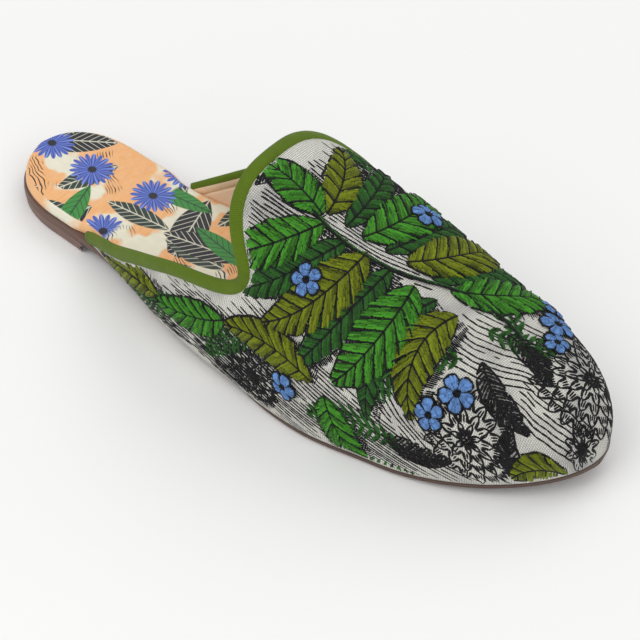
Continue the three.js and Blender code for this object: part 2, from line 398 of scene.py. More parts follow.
class Socket:
    """A shader socket: arithmetic on it adds Math nodes."""

    def __init__(self, finish, socket):
        self.finish = finish
        self.socket = socket

    def math(self, operation, *others, clamp=False):
        """A Math node on this socket and the others."""
        values = dict(enumerate((self, *others)))
        settings = {"operation": operation, "use_clamp": clamp}
        return self.finish.node("ShaderNodeMath", settings, values)

    def __add__(self, other):
        return self.math("ADD", other)

    def __mul__(self, other):
        return self.math("MULTIPLY", other)

    def __sub__(self, other):
        return self.math("SUBTRACT", other)

    def __truediv__(self, other):
        return self.math("DIVIDE", other)

    def __rsub__(self, other):
        return self.finish.node("ShaderNodeMath", {"operation": "SUBTRACT"}, {0: other, 1: self})

    __radd__ = __add__
    __rmul__ = __mul__

    def __pow__(self, other):
        return self.math("POWER", other)

    def __abs__(self):
        return self.math("ABSOLUTE")

    def sin(self):
        """Sine of a value in radians."""
        return self.math("SINE")

    def fraction(self):
        """The part after the point."""
        return self.math("FRACT")

    def step(self, width):
        """0 below zero and 1 above, with an edge of that width."""
        return self.math("MULTIPLY_ADD", 1 / width, 0.5, clamp=True)


class Finish:
    """One material: its shader's fixed values, and the method that adds nodes to it."""

    def __init__(self, name, fixed):
        self.material = bpy.data.materials.new(name)
        self.material.use_nodes = True
        self.tree = self.material.node_tree
        self.shader = self.tree.nodes["Principled BSDF"]
        for socket, value in fixed.items():
            self.shader.inputs[socket].default_value = value

    def node(self, kind, settings=None, inputs=None, output=0):
        """Adds a node, sets it, joins its inputs and returns one of its outputs."""
        node = self.tree.nodes.new(kind)
        for name, value in (settings or {}).items():
            setattr(node, name, value)
        for name, value in (inputs or {}).items():
            self.join(value, node.inputs[name])
        return Socket(self, node.outputs[output])

    def join(self, value, socket):
        """Links a socket, or sets a plain value."""
        if isinstance(value, Socket):
            self.tree.links.new(value.socket, socket)
        else:
            socket.default_value = value

    def other(self, socket, output):
        """Another output of the same node."""
        return Socket(self, socket.socket.node.outputs[output])

    def mix(self, first, second, factor):
        """Goes from the first colour to the second."""
        values = {0: factor, 6: first, 7: second}
        return self.node("ShaderNodeMix", {"data_type": "RGBA"}, values, 2)

    def shade(self, colour, factor):
        """A colour made darker or lighter by a varying factor."""
        grey = self.node("ShaderNodeCombineColor", inputs={0: factor, 1: factor, 2: factor})
        settings = {"data_type": "RGBA", "blend_type": "MULTIPLY"}
        return self.node("ShaderNodeMix", settings, {0: 1.0, 6: colour, 7: grey}, 2)

    def flat(self):
        """x and y of the piece's own map, in millimetres."""
        place = self.node("ShaderNodeUVMap", {"uv_map": "flat"})
        x = self.node("ShaderNodeSeparateXYZ", inputs={0: place})
        return place, x, self.other(x, 1)

    def place(self):
        """Object coordinates, in metres."""
        return self.node("ShaderNodeTexCoord", output="Object")

    def noise(self, vector, scale, detail=3.0, roughness=0.55):
        """Noise from 0 to 1."""
        values = {"Vector": vector, "Scale": scale, "Detail": detail, "Roughness": roughness}
        return self.node("ShaderNodeTexNoise", {"noise_dimensions": "3D"}, values)

    def attribute(self, name):
        """A number that the piece's mesh carries."""
        return self.node("ShaderNodeAttribute", {"attribute_name": name}, output="Fac")

    def stretched(self, vector, sizes):
        """A vector with its parts made larger or smaller."""
        return self.node("ShaderNodeVectorMath", {"operation": "MULTIPLY"}, {0: vector, 1: sizes})

    def bump(self, height, depth, strength=1.0):
        """A bump of that depth in metres."""
        values = {"Height": height, "Distance": depth, "Strength": strength}
        return self.node("ShaderNodeBump", inputs=values)

    def finished(self, sockets):
        """Joins what varies to the shader and returns the material."""
        for name, value in sockets.items():
            self.join(value, self.shader.inputs[name])
        return self.material


def canvas_finish(sizes, colours):
    """Ecru canvas: plain weave, uneven yarn and a grey wash in places, with painted shade in the weave's
    hollows.
    """
    finish = Finish("canvas", {"Specular IOR Level": 0.2, "Sheen Weight": 0.15, "Sheen Roughness": 0.6})
    flat, across, along = finish.flat()
    pitch = sizes.weave / MM
    wander = (finish.noise(flat, 0.22, 2.0) - 0.5) * 0.9
    a = (across + wander) / pitch
    b = (along + wander) / pitch
    warp = abs((a * math.pi).sin())
    weft = abs((b * math.pi).sin())
    over = ((a.math("FLOOR") + b.math("FLOOR")) * 0.5).fraction() * 2
    height = over * warp ** 0.9 * weft ** 0.35 + (1 - over) * weft ** 0.9 * warp ** 0.35
    yarn = finish.noise(flat, 1.7, 2.0)
    wash = ((finish.noise(flat, 0.045, 2.0) - 0.53) * 5).step(1.0)
    streak = finish.noise(finish.stretched(flat, (0.5, 0.06, 1.0)), 1.0)
    colour = finish.mix(tuple(colours.canvas), tuple(colours.wash), wash * (streak * 1.4).step(1.0) * 0.8)
    # the weave's height also darkens the hollows between threads, as painted shade
    colour = finish.shade(colour, height * 0.6 + yarn * 0.5 + 0.32)
    normal = finish.bump(height + yarn * 0.35, 0.00035, 1.0)
    return finish.finished({"Base Color": colour, "Roughness": 0.95 - height * 0.1, "Normal": normal})


def lining_finish(colours):
    """Tan lining leather with a fine grain."""
    finish = Finish("lining_leather", {"Specular IOR Level": 0.35})
    place = finish.place()
    cells = {"Vector": place, "Scale": 1400.0, "Randomness": 1.0}
    grain = finish.node("ShaderNodeTexVoronoi", {"feature": "F1"}, cells)
    cloud = finish.noise(place, 45.0, 4.0)
    colour = finish.shade(tuple(colours.lining), cloud * 0.3 + 0.84)
    normal = finish.bump(grain, 0.00008, 0.7)
    return finish.finished({"Base Color": colour, "Roughness": cloud * 0.2 + 0.5, "Normal": normal})


def thread_finish(name, colour, low, high):
    """Lustrous thread: each stitch has its own tone, and the strand's twist shows as a bump and as painted
    shade in its grooves.
    """
    finish = Finish(name, {"Specular IOR Level": 0.22, "Sheen Weight": 0.04, "Sheen Roughness": 0.4})
    flat, along, across = finish.flat()
    twist = (along * 5.2 + across * 6.0).sin() * 0.5 + 0.5
    fuzz = finish.noise(flat, 3.1, 2.0)
    own = finish.attribute("shade")
    # the twist also darkens the strand's grooves a little, as painted shade
    level = own * (high - low) + low + (fuzz - 0.5) * 0.5 + (twist - 0.5) * 0.2
    shaded = finish.shade(tuple(colour), level)
    normal = finish.bump(twist + fuzz * 0.7, 0.00012, 0.8)
    return finish.finished({"Base Color": shaded, "Roughness": 0.62 - own * 0.12, "Normal": normal})


def binding_finish(sizes, colours):
    """Ribbed woven edge: fine cross ribs with painted shade in their grooves, slightly uneven dye, and the
    lining up its inside.
    """
    finish = Finish("binding_rib", {"Specular IOR Level": 0.25, "Sheen Weight": 0.08, "Sheen Roughness": 0.4})
    flat, across, along = finish.flat()
    place = finish.place()
    wander = finish.noise(flat, 0.35, 2.0) * 0.5
    rib = ((along + wander) * (2 * math.pi * MM / sizes.rib)).sin() * 0.5 + 0.5
    cloud = finish.noise(place, 160.0, 3.0)
    yarn = finish.noise(place, 2600.0, 2.0)
    turn = across / BINDING["girth"]
    lined = (BINDING["lined_to"] - turn).step(0.01) * (turn - BINDING["lined_from"]).step(0.01)
    rib = rib * (1 - lined)
    # the rib mask also darkens the grooves between ribs, as painted shade
    colour = finish.shade(tuple(colours.binding), rib * 0.22 + cloud * 0.35 + yarn * 0.3 + 0.52)
    colour = finish.mix(colour, finish.shade(tuple(colours.lining), cloud * 0.25 + 0.85), lined)
    normal = finish.bump(rib + yarn * 0.6, 0.00016, 0.9)
    return finish.finished({"Base Color": colour, "Roughness": 0.72 - rib * 0.1, "Normal": normal})


def edge_finish(name, colour, layers):
    """Stained and waxed leather edge: fine layers, scuffs, a dull wax shine, and painted shade that darkens
    it towards the front.
    """
    finish = Finish(name, {"Specular IOR Level": 0.35, "Coat Roughness": 0.45})
    place = finish.place()
    split = finish.node("ShaderNodeSeparateXYZ", inputs={0: place})
    up = finish.other(split, 2)
    layer = finish.noise(finish.stretched(place, (0.12, 0.12, 1.0)), layers, 4.0)
    scuff = finish.noise(place, 320.0, 4.0)
    worn = ((0.0012 - up) * 900).step(1.0) * scuff
    ahead = (split * 20.0).math("ADD", 1.0, clamp=True)  # 0 at the heel, 1 from the middle on
    # towards the front the edge is darkened by up to 35 %, as painted shade where the upper overhangs it
    stain_and_front_shade = (layer * 0.5 + scuff * 0.35 + 0.56 + worn * 0.5) * (1 - ahead * 0.35)
    return finish.finished({
        "Base Color": finish.shade(tuple(colour), stain_and_front_shade),
        "Roughness": scuff * 0.3 + 0.42,
        "Coat Weight": 0.22 - scuff * 0.2,
        "Normal": finish.bump(layer + scuff * 0.5, 0.00012, 0.7),
    })


def scattered(finish, flat, cell, offset, spread):
    """One motif for each cell of a jittered grid: its own x and y in mm, turned, and its chance."""
    moved = finish.node("ShaderNodeVectorMath", {"operation": "ADD"}, {0: flat, 1: (*offset, 0.0)})
    values = {"Vector": moved, "Scale": 1 / cell, "Randomness": spread}
    cells = finish.node("ShaderNodeTexVoronoi", {"voronoi_dimensions": "2D"}, values)
    chance = finish.node("ShaderNodeSeparateColor", inputs={0: finish.other(cells, "Color")})
    heart = finish.other(cells, "Position")
    local = finish.node("ShaderNodeVectorMath", {"operation": "SUBTRACT"}, {0: moved, 1: heart})
    turned = finish.node("ShaderNodeVectorRotate", {"rotation_type": "Z_AXIS"},
                         {"Vector": local, "Angle": chance * (2 * math.pi)})
    x = finish.node("ShaderNodeSeparateXYZ", inputs={0: turned})
    return x, finish.other(x, 1), finish.other(chance, 1)


def printed_leaf(finish, flat, cell, offset, long, wide):
    """Masks of a scattered leaf and of its veins."""
    x, y, chance = scattered(finish, flat, cell, offset, LEAF_SPREAD)
    span = x / (long / 2)
    reach = (1 - span * span) * (wide / 2)
    body = (reach - abs(y)).step(0.35)
    veins = ((x * 0.9 - abs(y) * 1.1) * 0.36).fraction()
    veins = ((0.14 - veins) * 12).step(1.0) + (0.28 - abs(y)).step(0.2)
    return body, veins.math("MINIMUM", 1.0), chance


def printed_daisy(finish, flat, cell, offset, petals, radius):
    """Masks of a scattered many-petalled flower, of its streaks and of its eye."""
    x, y, chance = scattered(finish, flat, cell, offset, DAISY_SPREAD)
    angle = y.math("ARCTAN2", x)
    out = (x * x + y * y) ** 0.5
    wave = abs((angle * (petals / 2)).sin())
    reach = (wave ** 0.6 * 0.42 + 0.58) * radius
    body = (reach - out).step(0.4)
    streak = ((angle * petals * 1.5).sin() * 0.5 + 0.5) * wave
    eye = (radius * 0.2 - out).step(0.5)
    return body, streak, eye, chance


def insole_finish(colours):
    """Printed wrap: cream leather with orange fields, leaves, daisies and fine dark hatching, with more
    leaves and fewer daisies towards the toe as painted shade under the vamp.
    """
    finish = Finish("printed_leather", {"Specular IOR Level": 0.4, "Coat Roughness": 0.35})
    flat, across, along = finish.flat()
    cream, orange = tuple(colours.insole), tuple(colours.orange)
    ink = paint(PRINT["ink"])
    warp = finish.noise(flat, 0.09, 2.0)
    # front rises from 0 at 45 mm to 1 at 85 mm; the leaves are real print, but more of them and fewer daisies
    # there darken the print as painted shade under the vamp
    front = ((along - 45) / 40).math("ADD", 0.0, clamp=True)
    brush = finish.noise(finish.stretched(flat, (0.25, 0.9, 1.0)), 1.0)
    field = (finish.noise(flat, 0.034, 3.0, 0.5) - 0.46).step(0.03)
    colour = finish.mix(cream, orange, field * (brush * 0.5 + 0.6))
    lines = ((across + along * 0.6 + warp * 9) / 1.5).fraction()
    hatched = (finish.noise(flat, 0.05, 2.0) - 0.56).step(0.04)
    colour = finish.mix(colour, ink, ((0.3 - lines) * 6).step(1.0) * hatched)
    for cell, offset, long, wide, tint in PRINTED_LEAVES:
        body, veins, chance = printed_leaf(finish, flat, cell, offset, long, wide)
        shown = body * (chance + front * 0.75 - 0.4).step(0.02)
        shade = finish.mix(paint(PRINT[tint]), ink if tint == "leaf" else cream, veins * 0.8)
        colour = finish.mix(colour, shade, shown)
    body, streak, eye, chance = printed_daisy(finish, flat, **DAISY)
    petal = finish.mix(paint(PRINT["petal"]), paint(PRINT["streak"]), streak)
    petal = finish.mix(petal, ink, eye)
    colour = finish.mix(colour, petal, body * (chance - 0.3 - front * 0.4).step(0.02))
    grain = finish.node("ShaderNodeTexVoronoi", {"feature": "F1"}, {"Vector": flat, "Scale": 1.6})
    cloud = finish.noise(flat, 0.3, 4.0)
    normal = finish.node("ShaderNodeNewGeometry", output="Normal")
    facing = finish.node("ShaderNodeSeparateXYZ", inputs={0: normal})
    edge = (0.84 - finish.other(facing, 2)).step(0.08)
    wrap = finish.mix(cream, orange, (finish.noise(flat, 0.05) - 0.47).step(0.12) * 0.8)
    colour = finish.mix(colour, wrap, edge)
    return finish.finished({
        "Base Color": finish.shade(colour, cloud * 0.2 + 0.88),
        "Roughness": cloud * 0.22 + 0.34,
        "Coat Weight": 0.12 - cloud * 0.1,
        "Normal": finish.bump(grain + cloud * 0.6, 0.00006, 0.6),
    })


class Embroidery:
    """Stitches by thread colour, each from one spot of the flat pattern to another."""

    # Along a stitch: where its stations are, how full it is there and how high it stands.
    STATIONS = np.array((0.0, 0.16, 0.5, 0.84, 1.0))
    FULLNESS = np.array((0.35, 1.0, 1.0, 1.0, 0.35))
    RISE = np.array((0.0, 0.85, 1.0, 0.85, 0.0))
    SUNK = 0.08
    CALM = 5.0  # stitches lie flatter this near to the border

    def __init__(self, pattern, sizes):
        self.pattern = pattern
        self.sizes = sizes
        self.rng = np.random.default_rng(SEED)
        self.rows = {}

    def stitch(self, colour, start, end, width, lift, pads=(0.0, 0.0), shade=None):
        """Adds stitches: widths, lifts and paddings in mm."""
        start, end = np.atleast_2d(start), np.atleast_2d(end)
        count = len(start)
        own = self.rng.random(count) if shade is None else np.full(count, shade)
        columns = (width, lift, pads[0], pads[1], own)
        columns = [np.broadcast_to(np.asarray(column, float), count) for column in columns]
        self.rows.setdefault(colour, []).append(np.column_stack((start, end, *columns)))

    def line(self, colour, points, width, lift=0.3, length=3.2, gap=0.0, pad=0.0):
        """A drawn line of running stitches along points, with some left out."""
        points = np.asarray(points, float)
        way = running(points)
        count = max(1, round(way[-1] / length))
        ends = np.linspace(0, way[-1], count + 1)
        ends[1:-1] += self.rng.uniform(-0.2, 0.2, count - 1) * length
        spots = np.stack([np.interp(ends, way, points[:, k]) for k in (0, 1)], -1)
        kept = self.rng.random(count) >= gap
        over = 0.12 * (spots[1:] - spots[:-1])
        self.stitch(colour, (spots[:-1] - over)[kept], (spots[1:] + over)[kept], width, lift, (pad, pad))

    def mesh(self, name, colour):
        """One mesh of a colour's stitches that lie on the upper."""
        rows = np.concatenate(self.rows[colour])
        start, end = rows[:, None, 0:2], rows[:, None, 2:4]
        spots = start + (end - start) * np.array((0.0, 0.5, 1.0))[None, :, None]
        room = self.pattern.room(spots[..., 0], spots[..., 1])
        kept = (room > 0.25).all(1)
        flatter = np.clip(room.min(1) / self.CALM, 0.3, 1.0)[:, None]
        rows[:, 5:8] *= flatter
        return self.strips(name, rows[kept])

    def strips(self, name, rows):
        """Ridged strips, one for each stitch, copied from one small grid."""
        shape = bmesh.new()
        stations = len(self.STATIONS)
        bmesh.ops.create_grid(shape, x_segments=2, y_segments=stations - 1, size=0.5)
        spots = np.array([vert.co for vert in shape.verts])
        faces = np.array([[vert.index for vert in face.verts] for face in shape.faces])
        shape.free()
        side = np.rint(spots[:, 0] * 2)
        station = np.rint((spots[:, 1] + 0.5) * (stations - 1)).astype(int)
        t = self.STATIONS[station][None, :]
        uv = rows[:, None, 0:2] + (rows[:, None, 2:4] - rows[:, None, 0:2]) * t[..., None]
        points, normals = self.pattern.place(uv[..., 0], uv[..., 1])
        first, final = int(np.argmin(t[0])), int(np.argmax(t[0]))
        ahead = unit(points[:, final] - points[:, first])[:, None]
        sideways = unit(np.cross(ahead, normals))
        width, lift = rows[:, 4:5], rows[:, 5:6]
        base = rows[:, 6:7] * (1 - t) + rows[:, 7:8] * t
        crest = base + lift * self.RISE[station]
        height = np.where(side == 0, crest, crest - np.minimum(lift, width * 0.45) - self.SUNK)
        reach = side * width / 2 * self.FULLNESS[station]
        points = points + normals * height[..., None] + sideways * reach[..., None]
        long = np.linalg.norm(rows[:, 2:4] - rows[:, 0:2], axis=1)[:, None]
        flat = np.stack((long * t + rows[:, 8:9] * 40, reach + rows[:, 8:9] * 17), -1)
        return self.joined(name, points, faces, flat, np.repeat(rows[:, 8], len(spots)))

    @staticmethod
    def joined(name, points, faces, flat, shade):
        """One mesh of many copies of a small shape, each with its own points."""
        copies, corners = points.shape[:2]
        index = (faces[None] + (np.arange(copies) * corners)[:, None, None]).reshape(-1)
        mesh = bpy.data.meshes.new(name)
        mesh.vertices.add(copies * corners)
        mesh.vertices.foreach_set("co", (points * MM).astype(np.float32).ravel())
        mesh.loops.add(len(index))
        mesh.loops.foreach_set("vertex_index", index.astype(np.int32))
        mesh.polygons.add(copies * len(faces))
        mesh.polygons.foreach_set("loop_start", np.arange(0, len(index), 4, dtype=np.int32))
        mesh.update(calc_edges=True)
        layer = mesh.uv_layers.new(name="flat")
        layer.data.foreach_set("uv", flat.reshape(-1, 2)[index].astype(np.float32).ravel())
        own = mesh.attributes.new("shade", "FLOAT", "POINT")
        own.data.foreach_set("value", shade.astype(np.float32))
        return mesh


def bow(start, end, bend, count=48):
    """Points of a bowed line: bend is how far its middle stands off, as a share of its length."""
    start, end = np.asarray(start, float), np.asarray(end, float)
    along = end - start
    middle = (start + end) / 2 + np.array((-along[1], along[0])) * bend * 2
    t = np.linspace(0, 1, count)[:, None]
    return (1 - t) ** 2 * start + 2 * t * (1 - t) * middle + t ** 2 * end


class Spine:
    """A bowed midrib that can be asked for its points and its sideways direction."""

    def __init__(self, start, end, bend):
        self.points = bow(start, end, bend)
        self.way = running(self.points)
        self.length = self.way[-1]
        ahead = unit(np.gradient(self.points, axis=0))
        self.sides = np.stack((-ahead[:, 1], ahead[:, 0]), -1)

    def at(self, share, table=None):
        """A point at a share of the length."""
        table = self.points if table is None else table
        way = np.clip(share, 0, 1) * self.length
        return np.stack([np.interp(way, self.way, table[:, k]) for k in (0, 1)], -1)

    def off(self, share, distance):
        """A point beside the midrib."""
        return self.at(share) + self.at(share, self.sides) * np.asarray(distance)[..., None]


def leaf_reach(share, half, teeth):
    """Half width of a pointed leaf along its midrib, with toothed margins."""
    share = np.clip(share, 0, 1)
    body = np.sin(math.pi * share ** 0.8) ** 0.85
    tooth = 1 - 0.16 * ((share * teeth) % 1.0)
    return half * body * tooth


def leaf(work, start, end, bend, half, colour, layer=0.0, rake=0.9):
    """A padded leaf: slanting rows of stitches each side of the midrib, with dark veins between.

    layer is how far it lies over other leaves, in millimetres.
    """
    spine = Spine(start, end, bend)
    thread, line, pad = work.sizes.thread / MM, work.sizes.line / MM, work.sizes.pad / MM
    teeth = max(4, round(spine.length / 5.2))
    pitch = 1.75 if colour == "black" else 0.8
    rows = round(spine.length / (thread * pitch))
    for side in (-1, 1):
        shares = (np.arange(rows) + 0.5) / rows
        for k, share in enumerate(shares):
            outer = share + rake * leaf_reach(share, half, teeth) / spine.length
            reach = leaf_reach(outer, half, teeth) * work.rng.uniform(0.94, 1.04)
            if outer > 1 or reach < 0.7:
                continue
            inner_end = spine.off(share, side * 0.25)
            outer_end = spine.off(outer, side * reach)
            span = np.linalg.norm(outer_end - inner_end)
            parts = max(1, math.ceil(span / 4.4))
            cuts = np.linspace(0, 1, parts + 1)
            cuts[1:-1] += (0.35 / parts if k % 2 else -0.2 / parts) + work.rng.uniform(-0.1, 0.1) / parts
            ends = inner_end + (outer_end - inner_end) * cuts[:, None]
            pads = layer + pad * np.sin(math.pi * (0.12 + 0.86 * cuts)) ** 0.6 * min(1, reach / 2.5)
            tone = 0.2 + 0.5 * ((share * teeth) % 1.0) + work.rng.uniform(-0.2, 0.4, parts)
            for j in range(parts):
                work.stitch(colour, ends[j], ends[j + 1], thread, 0.3, (pads[j], pads[j + 1]), tone[j])
    for tooth in range(1, teeth):
        share = tooth / teeth
        for side in (-1, 1):
            outer = share + rake * leaf_reach(share - 0.001, half, teeth) / spine.length
            reach = leaf_reach(outer, half, teeth) * 0.95
            if outer < 0.98 and reach > 1.5:
                points = np.array([spine.off(share + (outer - share) * t, side * reach * t)
                                   for t in np.linspace(0.06, 1.0, 8)])
                work.line("black", points, line * 0.85, 0.36, 3.4, pad=layer + pad * 0.95)
    shares = np.linspace(0.0, 0.97, max(8, rows // 3))
    work.line("black", spine.at(shares), line * 1.1, 0.3, 3.0, pad=layer + pad * 0.45)
    for side in (-1, 1):
        margin = spine.off(shares, side * (leaf_reach(shares, half, teeth) + 0.25))
        work.line("black", margin, line * 1.2, 0.3, 2.4, gap=0.08 if side > 0 else 0.3, pad=layer * 0.8)


def shadow(work, start, end, bend, half, step=(2.0, 4.2)):
    """Flat black stitches beside and under a leaf, as a drawn shadow."""
    spine = Spine(np.add(start, step), np.add(end, step), bend)
    thread = work.sizes.thread / MM
    for share in np.arange(0.06, 0.97, thread * 0.95 / spine.length):
        reach = 0.92 * half * math.sin(math.pi * share ** 0.8) ** 0.85
        ends = spine.off(np.full(4, share), np.linspace(-1, 1, 4) * reach * work.rng.uniform(0.85, 1.12))
        kept = work.rng.random(3) > 0.12
        work.stitch("shade", ends[:-1][kept], ends[1:][kept], thread, 0.3)


def fern(work, start, end, bend, half, colour):
    """A feathered sprig: a stem with pairs of slim leaflets, each of a few long stitches."""
    spine = Spine(start, end, bend)
    thread, line = work.sizes.thread / MM, work.sizes.line / MM
    pairs = max(5, round(spine.length / 3.4))
    for k in range(pairs):
        share = (k + 0.5) / pairs
        reach = half * math.sin(math.pi * (0.12 + 0.86 * share)) ** 0.8
        for side in (-1, 1):
            foot = spine.at(share)
            tip = spine.off(share + 0.8 * reach / spine.length, side * reach)
            sideways = unit(np.array((-(tip - foot)[1], (tip - foot)[0])))
            for shift in (-1, 0, 1):
                begin = foot + (tip - foot) * 0.06 + sideways * shift * thread * 0.35
                finish = foot + (tip - foot) * (1.0 if shift == 0 else 0.86) + sideways * shift * thread * 0.3
                middle = (begin + finish) / 2 + sideways * shift * thread * 0.45
                work.stitch(colour, begin, middle, thread, 0.4, (0.05, 0.3))
                work.stitch(colour, middle, finish, thread, 0.4, (0.3, 0.0))
    work.line(colour, spine.at(np.linspace(0, 1, 40)), thread, 0.35, 3.0, pad=0.3)
    work.line("black", spine.off(np.linspace(0, 0.96, 40), 0.8), line * 0.8, 0.3, 3.0, gap=0.2)


def blossom(work, heart, radius, turn, layer=0.0, petals=5):
    """A small open flower: petals of radial satin stitches round a dark eye, outlined in black."""
    heart = np.asarray(heart, float)
    thread, line = work.sizes.thread / MM, work.sizes.line / MM
    for petal in range(petals):
        middle = turn + 2 * math.pi * petal / petals
        spread = math.pi / petals * 0.92
        count = max(5, round(2 * spread * radius * 0.8 / (thread * 0.72)))
        for k in range(count):
            share = (k + 0.5) / count * 2 - 1
            angle = middle + share * spread
            reach = radius * (1 - 0.34 * share ** 4) * work.rng.uniform(0.94, 1.03)
            ahead = np.array((math.cos(angle), math.sin(angle)))
            cut = heart + ahead * reach * work.rng.uniform(0.52, 0.66)
            foot, tip = heart + ahead * radius * 0.2, heart + ahead * reach
            work.stitch("blue", foot, cut, thread * 0.9, 0.35, (0.9 + layer, 1.3 + layer))
            work.stitch("blue", cut, tip, thread * 1.05, 0.35, (1.3 + layer, 0.5 + layer))
        rim = [heart + np.array((math.cos(middle + s * spread), math.sin(middle + s * spread)))
               * (radius * (1 - 0.34 * s ** 4) + 0.35) for s in np.linspace(-1, 1, 16)]
        work.line("black", rim, line, 0.4, 2.2, pad=0.5 + layer)
        side = middle + spread
        groove = np.array((math.cos(side), math.sin(side)))
        ends = [heart + groove * radius * share for share in (0.25, 0.75)]
        work.line("black", ends, line, 0.3, 2.6, pad=1.2 + layer)
    for k in range(9):
        angle = 2.4 * k
        spot = heart + np.array((math.cos(angle), math.sin(angle))) * radius * 0.07 * math.sqrt(k)
        work.stitch("black", spot - (0.45, 0.2), spot + (0.45, 0.2), 1.0, 0.6, (1.1 + layer, 1.1 + layer))


def dahlia(work, heart, radius, turn, rings=5):
    """A drawn bloom: rings of pointed petals in black line, shaded by hatching from their feet."""
    heart = np.asarray(heart, float)
    line = work.sizes.line / MM
    for ring in range(rings):
        inner = radius * (ring + 0.35) / (rings + 0.35)
        outer = radius * (ring + 1.5) / (rings + 0.5)
        petals = 7 + 4 * ring
        for petal in range(petals):
            middle = turn + 2 * math.pi * (petal + 0.5 * (ring % 2)) / petals
            spread = math.pi / petals

            def spot(across, up):
                angle = middle + across * spread * (1 - up) ** 0.55
                reach = inner + (outer - inner) * up
                return heart + np.array((math.cos(angle), math.sin(angle))) * reach

            for side in (-1, 1):
                edge = [spot(side, up) for up in np.linspace(0, 1, 10)]
                work.line("black", edge, line * 1.05, 0.34, 2.2)
            hatches = max(3, round(2 * spread * inner / 1.0))
            for k in range(hatches):
                across = (k + 0.5) / hatches * 2 - 1
                top = (0.45 + 0.35 * abs(across)) * work.rng.uniform(0.8, 1.3)
                hatch = [spot(across, up) for up in np.linspace(0.02, min(0.85, top), 5)]
                work.line("black", hatch, line * 1.05, 0.3, 2.4)
    for k in range(26):
        angle = 2.39996 * k
        place = heart + np.array((math.cos(angle), math.sin(angle))) * radius * 0.028 * math.sqrt(k)
        work.stitch("black", place - (0.5, 0.3), place + (0.5, 0.3), 0.9, 0.5, (0.2, 0.2))


def furrows(work, start, end, bend, across, count):
    """A field of nearly parallel drawn lines: across is the step to the last line."""
    start, end, across = (np.asarray(value, float) for value in (start, end, across))
    line = work.sizes.line / MM
    spots = 60
    for k in range(count):
        shift = across * (k + work.rng.uniform(-0.12, 0.12)) / max(1, count - 1)
        points = bow(start + shift, end + shift, bend, spots)
        wave = 0.5 * np.sin(np.linspace(0, 9, spots) + k * 0.35)
        wave = wave + 0.25 * np.sin(np.linspace(0, 23, spots) + k)
        points = points + wave[:, None] * unit(across)
        first, final = work.rng.uniform(0, 0.3, 2) * spots / 2
        points = points[int(first):spots - int(final)]
        work.line("black", points, line * work.rng.uniform(0.8, 1.2), 0.28, 3.4, gap=0.08)


